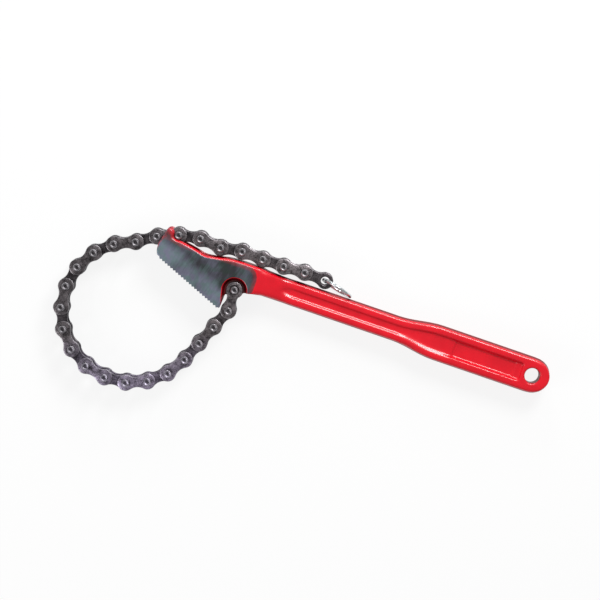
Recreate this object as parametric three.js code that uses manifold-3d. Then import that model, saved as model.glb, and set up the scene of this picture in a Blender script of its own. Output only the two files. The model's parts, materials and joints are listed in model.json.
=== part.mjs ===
// A chain wrench lying on its side: a forged handle with a toothed head, and a roller chain.
// The chain is pinned in a notch under the head, runs round the space for a pipe or a canister,
// and hooks back on the head by one of its long pins. A wire ring ends the loose tail.
// Units are millimetres. X runs along the handle, Z is up, and all chain pins stand along Z.
import * as THREE from 'three'
import { mergeVertices } from 'three/addons/utils/BufferGeometryUtils.js'
import Module from 'manifold-3d'

const wasm = await Module()
wasm.setup()

// Chain
const PITCH = 15.875
const INNER_WIDTH = 9.65
const ROLLER_DIAMETER = 10.16
const ROLLER_END_PLAY = 0.3
const PLATE_THICKNESS = 1.6
const PLATE_GAP = 0.25
const PLATE_END_RADIUS = 5.9
const PLATE_WAIST_WIDTH = 8.8
const PIN_DIAMETER = 5.08
const PIN_HEAD_DIAMETER = 5.8
const PIN_DOME_HEIGHT = 0.9
const PIN_HEAD_RECESS = 0.3
const BUSHING_WALL = 0.7
const RUNNING_GAP = 0.12
const ROLLER_GAP = 0.16
const RUN_LINKS = 3
const WRAP_LINKS = 13
const TAIL_LINKS = 7

// Where the chain is held, measured from the anchor pin
const HOOK_REACH = 50.6
const HOOK_RISE = 24.4
const HOOK_RUN_PULL_SHARE = 0.995
const FIRST_LINK_HEADING = THREE.MathUtils.degToRad(-87)
const BITE_DEPTH = 3
const CONTACT_SHARE = 0.22

// Head
const CHEEK_THICKNESS = 3.8
const SLOT_CLEARANCE = 0.4
const SLOT_FLOOR_DROP = 6
const SEAT_GAP = 0.3
const HORN_WIDTH = 5.4
const HORN_HEIGHT = 6.6
const JAW_TIP_REACH = 6.4
const JAW_TIP_DROP = 17
const JAW_END_OVERHANG = 6.7
const JAW_END_DROP = 19.4
const TOOTH_PITCH = 1.5
const TOOTH_DEPTH = 0.8
const WEB_CLEARANCE = 0.3
const WEB_EYE_RADIUS = 6.6
const ANCHOR_HOLE_DIAMETER = 5.4
const POCKET_RADIUS = 7.7
const POCKET_DRAFT = 1.5
const HEAD_CHAMFER = 1.5
const HEAD_FLAT_END = 13
const HEAD_TAPER_END = 35

// Handle
const HANDLE_REACH = 237.3
const SHAFT_TOP_DROP = 0.65
const SHAFT_WIDTH = 18.9
const SHAFT_THICKNESS = 14
const GRIP_WIDTH = 26.4
const GRIP_THICKNESS = 15
const GRIP_FLARE_START = 120
const GRIP_FLARE_END = 152
const GRIP_END_LENGTH = 14.5
const EDGE_RADIUS = 2.2
const EDGE_DRAFT = 0.9
const CHANNEL_START = 32
const CHANNEL_END = 216.5
const CHANNEL_WIDTH = 7.2
const CHANNEL_GRIP_WIDTH = 14
const CHANNEL_DEPTH = 1.9
const CHANNEL_DRAFT = 1.1
const PANEL_START = 164
const PANEL_END = 211
const PANEL_WIDTH = 11.6
const PANEL_DEPTH = 0.9
const PANEL_DRAFT = 0.2
const HANG_HOLE_DIAMETER = 11.2
const HANG_HOLE_INSET = 12.8
const HANG_HOLE_CHAMFER = 0.8

// Wire ring
const RING_WIRE = 2.5
const RING_MEAN_RADIUS = 11.3
const RING_HOLE_DIAMETER = 6.3
const RING_LEAN = THREE.MathUtils.degToRad(8)
const RING_SLACK = 0.5
const RING_SIDES = 8
const RING_STEPS = 32

// How finely round shapes are cut into flats, and how far cuts run past what they cut
const ROUND_SIDES = 10
const INNER_SIDES = 8
const NOTCH_STEPS = 12
const PLATE_END_STEPS = 7
const PLATE_WAIST_STEPS = 3
const OVERRUN = 6

// Sizes that follow from the ones above
const ROLLER_RADIUS = ROLLER_DIAMETER / 2
const PIN_HEAD_RADIUS = PIN_HEAD_DIAMETER / 2
const INNER_PLATE_FACE = INNER_WIDTH / 2
const OUTER_PLATE_FACE = INNER_PLATE_FACE + PLATE_THICKNESS + PLATE_GAP
const CHAIN_HALF_WIDTH = OUTER_PLATE_FACE + PLATE_THICKNESS
const SLOT_HALF_WIDTH = CHAIN_HALF_WIDTH + SLOT_CLEARANCE
const HEAD_HALF = SLOT_HALF_WIDTH + CHEEK_THICKNESS
const PIN_HALF_LENGTH = HEAD_HALF - PIN_HEAD_RECESS
const WEB_HALF = OUTER_PLATE_FACE - WEB_CLEARANCE
const HOOK_PIN = 1 + RUN_LINKS + WRAP_LINKS + 2
const SHAFT_HALF = SHAFT_THICKNESS / 2
const GRIP_HALF = GRIP_THICKNESS / 2
const SEAT_RISE = HOOK_RISE - PIN_HEAD_RADIUS - SEAT_GAP
const HORN_FLANK_REACH = HOOK_REACH + PIN_HEAD_RADIUS + SEAT_GAP
const JAW_END_REACH = HORN_FLANK_REACH + JAW_END_OVERHANG
const JAW_END_RISE = HOOK_RISE - JAW_END_DROP
const SHAFT_TOP = SEAT_RISE - SHAFT_TOP_DROP
const HANDLE_CENTRE_RISE = SHAFT_TOP - SHAFT_WIDTH / 2
const SHAFT_BOTTOM = SHAFT_TOP - SHAFT_WIDTH

const RED_PAINT = new THREE.MeshStandardMaterial({ color: 0xd8102a, roughness: 0.35, metalness: 0.1 })
const DARK_STEEL = new THREE.MeshStandardMaterial({ color: 0x4a4a50, roughness: 0.45, metalness: 0.9 })
const PIN_STEEL = new THREE.MeshStandardMaterial({ color: 0x77727a, roughness: 0.35, metalness: 0.9 })
const BRIGHT_ZINC = new THREE.MeshStandardMaterial({ color: 0xc4ccd0, roughness: 0.25, metalness: 1 })

// A closed mesh as a solid that can be cut and joined
function solidOf(geometry) {
  const bare = geometry.clone()
  bare.deleteAttribute('normal')
  bare.deleteAttribute('uv')
  const merged = mergeVertices(bare, RUNNING_GAP / 1000)
  const vertProperties = new Float32Array(merged.attributes.position.array)
  const triVerts = new Uint32Array(merged.index.array)
  return new wasm.Manifold(new wasm.Mesh({ numProp: 3, vertProperties, triVerts }))
}

function geometryOf(solid) {
  const mesh = solid.getMesh()
  const geometry = new THREE.BufferGeometry()
  geometry.setAttribute('position', new THREE.BufferAttribute(mesh.vertProperties, 3))
  geometry.setIndex(new THREE.BufferAttribute(mesh.triVerts, 1))
  return geometry
}

function arcPoints(x, y, radius, from, to, steps) {
  return Array.from({ length: steps + 1 }, (_, i) => {
    const angle = from + (to - from) * i / steps
    return new THREE.Vector2(x + radius * Math.cos(angle), y + radius * Math.sin(angle))
  })
}

// A flat outline pushed through from one height to another
function slab(points, low, high) {
  const shape = new THREE.Shape(points)
  const geometry = new THREE.ExtrudeGeometry(shape, { depth: high - low, bevelEnabled: false })
  geometry.translate(0, 0, low)
  return solidOf(geometry)
}

// A slab whose sides lean in by draft over rise, next to its upper and lower faces
function draftedSlab(points, low, high, rise, draft) {
  const geometry = new THREE.ExtrudeGeometry(new THREE.Shape(points), {
    depth: high - low - 2 * rise,
    bevelThickness: rise,
    bevelSize: draft,
    bevelOffset: -draft,
    bevelSegments: 1,
  })
  geometry.translate(0, 0, low + rise)
  return solidOf(geometry)
}

// A cylinder or tube along Z, turned from half of its section
function turned(profile, sides) {
  const geometry = new THREE.LatheGeometry(profile.map(([r, z]) => new THREE.Vector2(r, z)), sides)
  geometry.rotateX(Math.PI / 2)
  return solidOf(geometry)
}

function bar(radius, half, sides = ROUND_SIDES) {
  return turned([[0, -half], [radius, -half], [radius, half], [0, half]], sides)
}

// The corner radius of a many-sided hole whose flats clear a round bar by a gap
function holeRadius(barRadius, gap, sides = ROUND_SIDES) {
  return (barRadius + gap) / Math.cos(Math.PI / sides)
}

// Where two circles meet, on the left of the way from the first centre to the second
function meetingPoint(first, firstRadius, second, secondRadius) {
  const way = second.clone().sub(first)
  const distance = way.length()
  const along = (distance ** 2 + firstRadius ** 2 - secondRadius ** 2) / (2 * distance)
  const aside = Math.sqrt(Math.max(0, firstRadius ** 2 - along ** 2))
  way.normalize()
  return first.clone().addScaledVector(way, along)
    .addScaledVector(new THREE.Vector2(-way.y, way.x), aside)
}

// The jaw line, from the far end of the teeth to their tip beside the notch
const JAW_END = new THREE.Vector2(-JAW_END_REACH, JAW_END_RISE)
const JAW_TIP = new THREE.Vector2(-JAW_TIP_REACH, -JAW_TIP_DROP)
const JAW_ALONG = JAW_TIP.clone().sub(JAW_END).normalize()
const JAW_INTO_HEAD = new THREE.Vector2(-JAW_ALONG.y, JAW_ALONG.x)
const JAW_LENGTH = JAW_END.distanceTo(JAW_TIP)

// The chain's way from the anchor pin to the hook, drawn tight round a circle of pins
function loopPins(circleRadius) {
  const contact = JAW_END.clone().lerp(JAW_TIP, CONTACT_SHARE)
  const toCentre = circleRadius - ROLLER_RADIUS - BITE_DEPTH
  const centre = contact.addScaledVector(JAW_INTO_HEAD, -toCentre)
  const anchor = new THREE.Vector2(0, 0)
  const first = new THREE.Vector2(
    PITCH * Math.cos(FIRST_LINK_HEADING),
    PITCH * Math.sin(FIRST_LINK_HEADING),
  )
  const touch = meetingPoint(first, RUN_LINKS * PITCH, centre, circleRadius)
  const pins = [anchor]
  for (let i = 0; i <= RUN_LINKS; i++) {
    pins.push(first.clone().lerp(touch, i / RUN_LINKS))
  }
  const step = 2 * Math.asin(PITCH / 2 / circleRadius)
  for (let i = 1; i <= WRAP_LINKS; i++) {
    pins.push(touch.clone().rotateAround(centre, -step * i))
  }
  return { pins, centre }
}

// The circle for which the last two links before the hook are drawn almost straight
function solveLoop() {
  const hook = new THREE.Vector2(-HOOK_REACH, HOOK_RISE)
  const slack = (radius) => loopPins(radius).pins.at(-1).distanceTo(hook)
    - 2 * PITCH * HOOK_RUN_PULL_SHARE
  const turn = 2 * Math.PI / (WRAP_LINKS + RUN_LINKS + 1)
  let large = PITCH / turn
  while (slack(large) < 0) large += ROLLER_RADIUS
  let small = large - ROLLER_RADIUS
  for (let i = 0; i < 50; i++) {
    const middle = (small + large) / 2
    if (slack(middle) < 0) small = middle
    else large = middle
  }
  const { pins, centre } = loopPins(large)
  pins.push(meetingPoint(pins.at(-1), PITCH, hook, PITCH))
  pins.push(hook)
  return { pins, centre, circleRadius: large }
}

// How high each tail pin stands over the top of the shaft, as shares of a plate's end radius
const TAIL_RISE_SHARES = [1.08, 0.83, 1.26, 1.17, 1.16, 1.3, 1.14]

function routePins() {
  const { pins, centre, circleRadius } = solveLoop()
  for (const share of TAIL_RISE_SHARES.slice(0, TAIL_LINKS)) {
    const last = pins.at(-1)
    const rise = SHAFT_TOP + share * PLATE_END_RADIUS
    const across = Math.sqrt(PITCH ** 2 - (rise - last.y) ** 2)
    pins.push(new THREE.Vector2(last.x + across, rise))
  }
  return { pins, centre, circleRadius }
}

const { pins: PINS } = routePins()
const LINKS = PINS.length - 1

// One side plate: two round ends joined by hollow waists
function plateOutline() {
  const half = PITCH / 2
  const waist = PLATE_WAIST_WIDTH / 2
  const hollow = (half ** 2 + waist ** 2 - PLATE_END_RADIUS ** 2) / (2 * (PLATE_END_RADIUS - waist))
  const swing = Math.atan2(waist + hollow, half)
  const lean = Math.PI / 2 - swing
  const far = arcPoints(PITCH, 0, PLATE_END_RADIUS, swing - Math.PI, Math.PI - swing, PLATE_END_STEPS)
  const fromDown = -Math.PI / 2
  const top = arcPoints(half, waist + hollow, hollow, fromDown + lean, fromDown - lean, PLATE_WAIST_STEPS)
  const near = arcPoints(0, 0, PLATE_END_RADIUS, swing, 2 * Math.PI - swing, PLATE_END_STEPS)
  const under = top.map((point) => new THREE.Vector2(PITCH - point.x, -point.y))
  return [...far, ...top.slice(1, -1), ...near, ...under.slice(1, -1)]
}

function platePair(face) {
  const outline = plateOutline()
  const upper = slab(outline, face, face + PLATE_THICKNESS)
  return upper.add(slab(outline, -face - PLATE_THICKNESS, -face))
}

// A chain pin: a plain shank between the plates and a riveted, domed head beyond each
function chainPin() {
  const shank = bar(PIN_DIAMETER / 2, CHAIN_HALF_WIDTH, INNER_SIDES)
  const shoulder = CHAIN_HALF_WIDTH - PLATE_THICKNESS / 2
  const crown = PIN_HALF_LENGTH - PIN_DOME_HEIGHT
  const head = [
    [0, shoulder],
    [PIN_HEAD_RADIUS, shoulder],
    [PIN_HEAD_RADIUS, crown],
    [PIN_DIAMETER / 3, PIN_HALF_LENGTH],
    [0, PIN_HALF_LENGTH],
  ]
  const foot = head.map(([r, z]) => [r, -z]).reverse()
  return shank.add(turned(head, ROUND_SIDES)).add(turned(foot, ROUND_SIDES))
}

function atFarEnd(solid) {
  return solid.translate([PITCH, 0, 0])
}

// An outer link: two plates riveted on both of their pins
function outerLinkSolid() {
  const pin = chainPin()
  return platePair(OUTER_PLATE_FACE).add(pin).add(atFarEnd(pin))
}

// The first outer link turns on the separate anchor pin
function anchorLinkSolid() {
  const hole = bar(holeRadius(PIN_HEAD_RADIUS, RUNNING_GAP), HEAD_HALF)
  return platePair(OUTER_PLATE_FACE).subtract(hole).add(atFarEnd(chainPin()))
}

const BORE_RADIUS = holeRadius(PIN_DIAMETER / 2, RUNNING_GAP, INNER_SIDES)
const BUSHING_RADIUS = BORE_RADIUS + BUSHING_WALL

// An inner link: two plates pressed on two bushings
function innerLinkSolid() {
  const half = INNER_PLATE_FACE + PLATE_THICKNESS
  const bore = bar(BORE_RADIUS, HEAD_HALF, INNER_SIDES)
  const bushing = bar(BUSHING_RADIUS, half, INNER_SIDES)
  const body = platePair(INNER_PLATE_FACE).add(bushing).add(atFarEnd(bushing))
  return body.subtract(bore).subtract(atFarEnd(bore))
}

// The last inner link has open holes for the ring in place of its far bushing
function tailLinkSolid() {
  const half = INNER_PLATE_FACE + PLATE_THICKNESS
  const bore = bar(BORE_RADIUS, HEAD_HALF, INNER_SIDES)
  const eye = bar(RING_HOLE_DIAMETER / 2, HEAD_HALF)
  const body = platePair(INNER_PLATE_FACE).add(bar(BUSHING_RADIUS, half, INNER_SIDES))
  return body.subtract(bore).subtract(atFarEnd(eye))
}

function rollerSolid() {
  const half = (INNER_WIDTH - ROLLER_END_PLAY) / 2
  const bore = bar(holeRadius(BUSHING_RADIUS, ROLLER_GAP, INNER_SIDES), INNER_WIDTH, INNER_SIDES)
  return bar(ROLLER_RADIUS, half).subtract(bore)
}

// The wire ring, bent round in one plane and welded shut
function ringGeometry() {
  const geometry = new THREE.TorusGeometry(RING_MEAN_RADIUS, RING_WIRE / 2, RING_SIDES, RING_STEPS)
  return geometryOf(solidOf(geometry))
}

// Teeth along the jaw: a saw line with its points on the jaw line
function toothLine() {
  const count = Math.round(JAW_LENGTH / TOOTH_PITCH)
  const step = JAW_LENGTH / count
  const points = []
  for (let i = 0; i < count; i++) {
    points.push(JAW_END.clone().addScaledVector(JAW_ALONG, step * i))
    points.push(JAW_END.clone().addScaledVector(JAW_ALONG, step * (i + 1 / 2))
      .addScaledVector(JAW_INTO_HEAD, TOOTH_DEPTH))
  }
  points.push(JAW_TIP.clone())
  return points
}

// The head's underside from the jaw tip past the eye round the anchor pin to the shaft
const WALL_REACH_SHARES = [0.9, 0.83]
const WALL_DROP_SHARES = [0.86, 0.42]
const NECK_REACH_SHARES = [1.5, 1.88, 2.6]
const NECK_DROP_SHARES = [0.165, 0.06, 0]

function undersidePoints() {
  const eye = arcPoints(0, 0, WEB_EYE_RADIUS, Math.PI * 1.2, Math.PI * 1.98, NOTCH_STEPS - 2)
  const wall = WALL_REACH_SHARES.map((share, i) => new THREE.Vector2(
    -WEB_EYE_RADIUS * share,
    -JAW_TIP_DROP * WALL_DROP_SHARES[i],
  ))
  const neck = NECK_REACH_SHARES.map((share, i) => new THREE.Vector2(
    share * WEB_EYE_RADIUS,
    SHAFT_BOTTOM - NECK_DROP_SHARES[i] * WEB_EYE_RADIUS,
  ))
  return [...wall, ...eye, ...neck]
}

// The head's top edge from the shaft over a saddle to the hook seat, in chain pitches from the hook
const SADDLE_PITCH_SHARES = [4.3, 2.87, 2.04, 1.434, 0.956, 0.223]
const SADDLE_SINK_SHARES = [0, 0.01, 0.26, 0.4, 0.22, 0]

// The horn behind the seat, as shares of its width and height, and the head's blunt far end
const HORN_OUT_SHARES = [-0.02, 0.08, 0.3, 0.62, 0.98, 1.2, 1.28]
const HORN_UP_SHARES = [0.4, 0.76, 0.97, 1.04, 0.94, 0.68, 0.34]
const END_OUT_SHARES = [1.62, 1.64, 1.56]
const END_UP_SHARES = [0.8, 0.6, 0.44]

function topPoints() {
  const saddle = SADDLE_PITCH_SHARES.map((share, i) => new THREE.Vector2(
    share * PITCH - HOOK_REACH,
    SEAT_RISE - SADDLE_SINK_SHARES[i] * SHAFT_WIDTH / 2,
  ))
  const flank = -HORN_FLANK_REACH
  const root = [
    new THREE.Vector2(flank + PIN_HEAD_RADIUS, SEAT_RISE),
    new THREE.Vector2(flank, SEAT_RISE + PIN_HEAD_RADIUS / 3),
  ]
  const horn = HORN_OUT_SHARES.map((share, i) => new THREE.Vector2(
    flank - HORN_WIDTH * share,
    SEAT_RISE + HORN_HEIGHT * HORN_UP_SHARES[i],
  ))
  const end = END_OUT_SHARES.map((share, i) => new THREE.Vector2(
    flank - HORN_WIDTH * share,
    SEAT_RISE * END_UP_SHARES[i],
  ))
  const smoothSaddle = new THREE.SplineCurve(saddle).getPoints(14)
  return [...smoothSaddle, ...root, ...horn, ...end]
}

// The head's thickness seen from the side: it falls off just inside the neck that swells to meet it
const HEAD_FALL_SHARE = 0.4

function sideProfile() {
  const inside = SHAFT_HALF - SEAT_GAP
  const upper = [
    new THREE.Vector2(HEAD_FLAT_END, HEAD_HALF),
    new THREE.Vector2(THREE.MathUtils.lerp(HEAD_FLAT_END, HEAD_TAPER_END, HEAD_FALL_SHARE), inside),
    new THREE.Vector2(HEAD_TAPER_END, inside),
  ]
  const lower = upper.map((point) => new THREE.Vector2(point.x, -point.y)).reverse()
  const back = -HORN_FLANK_REACH - 3 * HORN_WIDTH
  return [new THREE.Vector2(back, HEAD_HALF), ...upper, ...lower, new THREE.Vector2(back, -HEAD_HALF)]
}

function headBlank() {
  const underside = undersidePoints()
  const inShaft = new THREE.Vector2(HEAD_TAPER_END, HANDLE_CENTRE_RISE)
  const outline = [...toothLine(), ...underside, inShaft, ...topPoints()]
  const crisp = slab(outline, -HEAD_HALF, HEAD_HALF)
  const below = JAW_TIP_DROP + OVERRUN
  const beyond = -JAW_END_REACH - OVERRUN
  const guard = [
    [beyond, SEAT_RISE * END_UP_SHARES[1]],
    [beyond, -below],
    [HEAD_TAPER_END + OVERRUN, -below],
    [HEAD_TAPER_END + OVERRUN, SEAT_RISE],
  ].map(([x, y]) => new THREE.Vector2(x, y))
  const soft = [...guard, ...topPoints().slice(0, 1 - END_OUT_SHARES.length)]
  const softened = draftedSlab(soft, -HEAD_HALF, HEAD_HALF, HEAD_CHAMFER, HEAD_CHAMFER)
  const profile = new THREE.ExtrudeGeometry(new THREE.Shape(sideProfile()), {
    depth: 4 * JAW_END_REACH,
    bevelEnabled: false,
  })
  profile.rotateX(Math.PI / 2)
  profile.translate(0, 2 * JAW_END_REACH, 0)
  return crisp.intersect(softened).intersect(solidOf(profile))
}

function smooth(x, from, to) {
  return THREE.MathUtils.smoothstep(x, from, to)
}

// How much the handle has swollen into the head: 1 at the head, 0 where the plain shaft starts
function neckSwell(x) {
  const along = THREE.MathUtils.clamp((x - HEAD_FLAT_END) / (HEAD_TAPER_END - HEAD_FLAT_END), 0, 1)
  return (1 + Math.cos(Math.PI * along)) / 2
}

// Half of the handle's width at a distance from the anchor pin
function handleHalfWidth(x) {
  const flare = smooth(x, GRIP_FLARE_START, GRIP_FLARE_END)
  const full = (THREE.MathUtils.lerp(SHAFT_WIDTH, GRIP_WIDTH, flare) + SHAFT_TOP_DROP * neckSwell(x)) / 2
  const past = (x - HANDLE_REACH + GRIP_END_LENGTH) / GRIP_END_LENGTH
  const squareness = 2.3
  return past > 0 ? full * (1 - past ** squareness) ** (1 / squareness) : full
}

function handleHalfThickness(x) {
  const flare = smooth(x, GRIP_FLARE_START, GRIP_FLARE_END)
  return THREE.MathUtils.lerp(SHAFT_HALF, GRIP_HALF, flare) + (HEAD_HALF - SHAFT_HALF) * neckSwell(x)
}

// One section of the handle: leaning sides that meet at the forging's parting line
function handleSection(x) {
  const width = handleHalfWidth(x)
  const half = handleHalfThickness(x)
  const radius = Math.min(EDGE_RADIUS, width / 3)
  const draft = Math.min(EDGE_DRAFT, width / 6)
  const face = width - draft
  const corner = arcPoints(face - radius, half - radius, radius, 0, Math.PI / 2, 3)
  const mirrored = (side, up) => corner.map((p) => new THREE.Vector2(side * p.x, up * p.y))
  const outline = [
    new THREE.Vector2(width, 0),
    ...mirrored(1, 1),
    ...mirrored(-1, 1).reverse(),
    new THREE.Vector2(-width, 0),
    ...mirrored(-1, -1),
    ...mirrored(1, -1).reverse(),
  ]
  const centre = HANDLE_CENTRE_RISE + SHAFT_TOP_DROP * neckSwell(x) / 2
  return outline.map((p) => [x, centre + p.x, p.y])
}

// Where the sections stand along the neck, along the flare and along the round end
const NECK_SHARES = [0, 0.2, 0.4, 0.6, 0.8, 1]
const FLARE_SHARES = [0, 0.14, 0.29, 0.43, 0.57, 0.71, 0.86, 1]
const END_SHARES = [0, 0.3, 0.5, 0.67, 0.8, 0.9, 0.965, 0.995]

function handleStations() {
  const neck = NECK_SHARES.map((share) => THREE.MathUtils.lerp(HEAD_FLAT_END, HEAD_TAPER_END, share))
  const flare = FLARE_SHARES.map((share) => THREE.MathUtils.lerp(GRIP_FLARE_START, GRIP_FLARE_END, share))
  const endStart = HANDLE_REACH - GRIP_END_LENGTH
  return [...neck, ...flare, ...END_SHARES.map((share) => endStart + share * GRIP_END_LENGTH)]
}

// Sections along the handle, skinned together and closed at both ends
function handleLoft() {
  const rings = handleStations().map(handleSection)
  const count = rings[0].length
  const positions = rings.flat(2)
  const index = []
  for (let r = 0; r + 1 < rings.length; r++) {
    for (let i = 0; i < count; i++) {
      const a = r * count + i
      const b = r * count + (i + 1) % count
      index.push(a, b, a + count, b, b + count, a + count)
    }
  }
  const last = (rings.length - 1) * count
  for (let i = 1; i + 1 < count; i++) {
    index.push(0, i + 1, i)
    index.push(last, last + i, last + i + 1)
  }
  return new wasm.Manifold(new wasm.Mesh({
    numProp: 3,
    vertProperties: new Float32Array(positions),
    triVerts: new Uint32Array(index),
  }))
}

// The channel down each side of the shaft, which starts in a slim nose and widens into the grip
const NOSE_REACH_SHARES = [0, 1, 2]
const NOSE_WIDTH_SHARES = [0.25, 0.8, 1]

function channelOutline() {
  const narrow = CHANNEL_WIDTH / 2
  const wide = CHANNEL_GRIP_WIDTH / 2
  const nose = NOSE_REACH_SHARES.map((share, i) => [
    CHANNEL_START + narrow * share,
    narrow * NOSE_WIDTH_SHARES[i],
  ])
  const flare = FLARE_SHARES.map((share) => [
    THREE.MathUtils.lerp(GRIP_FLARE_START, GRIP_FLARE_END, share),
    THREE.MathUtils.lerp(narrow, wide, smooth(share, 0, 1)),
  ])
  const corner = wide / 3
  const side = [
    ...nose,
    ...flare,
    [CHANNEL_END - corner, wide],
    [CHANNEL_END - corner / 4, wide - corner / 4],
    [CHANNEL_END, wide - corner],
  ]
  const under = side.map(([x, y]) => new THREE.Vector2(x, HANDLE_CENTRE_RISE - y))
  const over = side.map(([x, y]) => new THREE.Vector2(x, HANDLE_CENTRE_RISE + y)).reverse()
  return [...under, ...over]
}

function panelOutline() {
  const half = PANEL_WIDTH / 2
  return [[PANEL_START, -half], [PANEL_END, -half], [PANEL_END, half], [PANEL_START, half]]
    .map(([x, y]) => new THREE.Vector2(x, HANDLE_CENTRE_RISE + y))
}

// The pocket beside the web that lets a plate of the first link turn on the anchor pin
const POCKET_FOOT_REACH_SHARES = [-0.43, 1.1]

function pocketOutline() {
  const below = JAW_TIP_DROP + OVERRUN
  const radius = POCKET_RADIUS + POCKET_DRAFT
  const round = arcPoints(0, 0, radius, -Math.PI * 0.06, Math.PI * 1.02, NOTCH_STEPS)
  const feet = POCKET_FOOT_REACH_SHARES.map((share) => new THREE.Vector2(radius * share, -below))
  return [...feet, ...round]
}

// Both faces get the same cut, whose walls lean out from its floor to the face
function cutBothFaces(solid, outline, floor, face, draft) {
  const rise = face - floor
  const far = HEAD_HALF + OVERRUN + rise
  const upper = draftedSlab(outline, floor, far, rise, draft)
  const lower = draftedSlab(outline, -far, -floor, rise, draft)
  return solid.subtract(upper).subtract(lower)
}

// The slot for the chain between the two horns and cheeks
function slotSolid() {
  const reach = PLATE_END_RADIUS + SLOT_FLOOR_DROP
  const hook = PINS[HOOK_PIN]
  const before = PINS[HOOK_PIN - 1]
  const along = hook.clone().sub(before).normalize()
  const down = new THREE.Vector2(along.y, -along.x)
  const start = before.clone().addScaledVector(down, reach).addScaledVector(along, -PITCH)
  const turn = hook.clone().addScaledVector(down, reach)
  const outline = [
    start,
    turn,
    new THREE.Vector2(hook.x / 2, hook.y - reach),
    new THREE.Vector2(0, hook.y),
    new THREE.Vector2(0, hook.y + 2 * reach),
    new THREE.Vector2(start.x, hook.y + 2 * reach),
  ]
  return slab(outline, -SLOT_HALF_WIDTH, SLOT_HALF_WIDTH)
}

// Room for the riveted ends of the pin that comes just before the hook
function pinRoomSolid() {
  const before = PINS[HOOK_PIN - 1]
  return bar(PIN_HEAD_RADIUS + RUNNING_GAP, HEAD_HALF + OVERRUN, 2 * ROUND_SIDES).translate([before.x, before.y, 0])
}

function hangHole() {
  const x = HANDLE_REACH - HANG_HOLE_INSET
  const radius = HANG_HOLE_DIAMETER / 2
  const mouth = radius + HANG_HOLE_CHAMFER
  const waist = GRIP_HALF - HANG_HOLE_CHAMFER
  const far = GRIP_HALF + OVERRUN
  const profile = [
    [0, -far], [mouth + OVERRUN, -far], [radius, -waist],
    [radius, waist], [mouth + OVERRUN, far], [0, far],
  ]
  return turned(profile, 2 * ROUND_SIDES).translate([x, HANDLE_CENTRE_RISE, 0])
}

function handleSolid() {
  let solid = headBlank().add(handleLoft())
  solid = solid.subtract(slotSolid()).subtract(pinRoomSolid())
  solid = cutBothFaces(solid, pocketOutline(), WEB_HALF, HEAD_HALF, POCKET_DRAFT)
  solid = solid.subtract(bar(ANCHOR_HOLE_DIAMETER / 2, HEAD_HALF, 2 * ROUND_SIDES))
  const floor = GRIP_HALF - CHANNEL_DEPTH
  solid = cutBothFaces(solid, channelOutline(), floor, GRIP_HALF, CHANNEL_DRAFT)
  solid = cutBothFaces(solid, panelOutline(), floor - PANEL_DEPTH, floor, PANEL_DRAFT)
  return solid.subtract(hangHole())
}

const wrench = new THREE.Group()
wrench.name = 'chain_wrench'

function place(name, geometry, material, position, heading) {
  const mesh = new THREE.Mesh(geometry, material)
  mesh.name = name
  mesh.position.set(position.x, position.y, 0)
  mesh.rotation.z = heading
  wrench.add(mesh)
  return mesh
}

const twoDigits = (number) => String(number).padStart(2, '0')
const ORIGIN = new THREE.Vector2(0, 0)

place('handle', geometryOf(handleSolid()), RED_PAINT, ORIGIN, 0)
place('anchor_pin', geometryOf(chainPin()), PIN_STEEL, ORIGIN, 0)

const SHAPES = {
  anchor: geometryOf(anchorLinkSolid()),
  outer: geometryOf(outerLinkSolid()),
  inner: geometryOf(innerLinkSolid()),
  tail: geometryOf(tailLinkSolid()),
  roller: geometryOf(rollerSolid()),
}

for (let number = 1; number <= LINKS; number++) {
  const from = PINS[number - 1]
  const to = PINS[number]
  const heading = Math.atan2(to.y - from.y, to.x - from.x)
  const isOuter = number % 2 === 1
  const isTail = number === LINKS
  const kind = number === 1 ? 'anchor' : isOuter ? 'outer' : isTail ? 'tail' : 'inner'
  place(`${isOuter ? 'outer' : 'inner'}_link_${twoDigits(number)}`, SHAPES[kind], DARK_STEEL, from, heading)
  if (number > 1) place(`roller_${twoDigits(number)}`, SHAPES.roller, PIN_STEEL, from, heading)
}

// The ring hangs from the open holes of the last link and lies along the top of the shaft
const RING_CROSSING = INNER_PLATE_FACE + PLATE_THICKNESS / 2
const RING_OFFSET = Math.sqrt(RING_MEAN_RADIUS ** 2 - RING_CROSSING ** 2) + RING_SLACK
const RING_REST_RISE = SHAFT_TOP + RING_WIRE / 2 + SEAT_GAP
const TAIL_EYE = PINS[LINKS]
const RING_DIP = Math.asin((RING_REST_RISE - TAIL_EYE.y) / (RING_OFFSET + RING_MEAN_RADIUS))

const ring = place('wire_ring', ringGeometry(), BRIGHT_ZINC, TAIL_EYE, RING_DIP)
ring.geometry.rotateX(Math.PI / 2 - RING_LEAN)
ring.geometry.translate(RING_OFFSET, 0, 0)

// The origin is under the middle of the whole tool, on the surface that it lies on
const box = new THREE.Box3().setFromObject(wrench)
const middle = box.getCenter(new THREE.Vector3())
wrench.position.set(-middle.x, -middle.y, -box.min.z)

export default wrench
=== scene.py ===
# %% [markdown]
# # A chain wrench, dressed for its photograph
#
# The frame holds the tool as it works: a forged handle, a roller chain of 26 links and a wire ring.
# This lesson gives each piece the surface that a little-used tool has. The handle gets the soft
# edges of a forging, the chain gets its punched plates and riveted pins, and each finish is made
# of nodes.

# %% Load the frame
import json
from math import atan2, cos, pi, radians, sin

import bmesh
import bpy
from mathutils import Matrix, Vector


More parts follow.
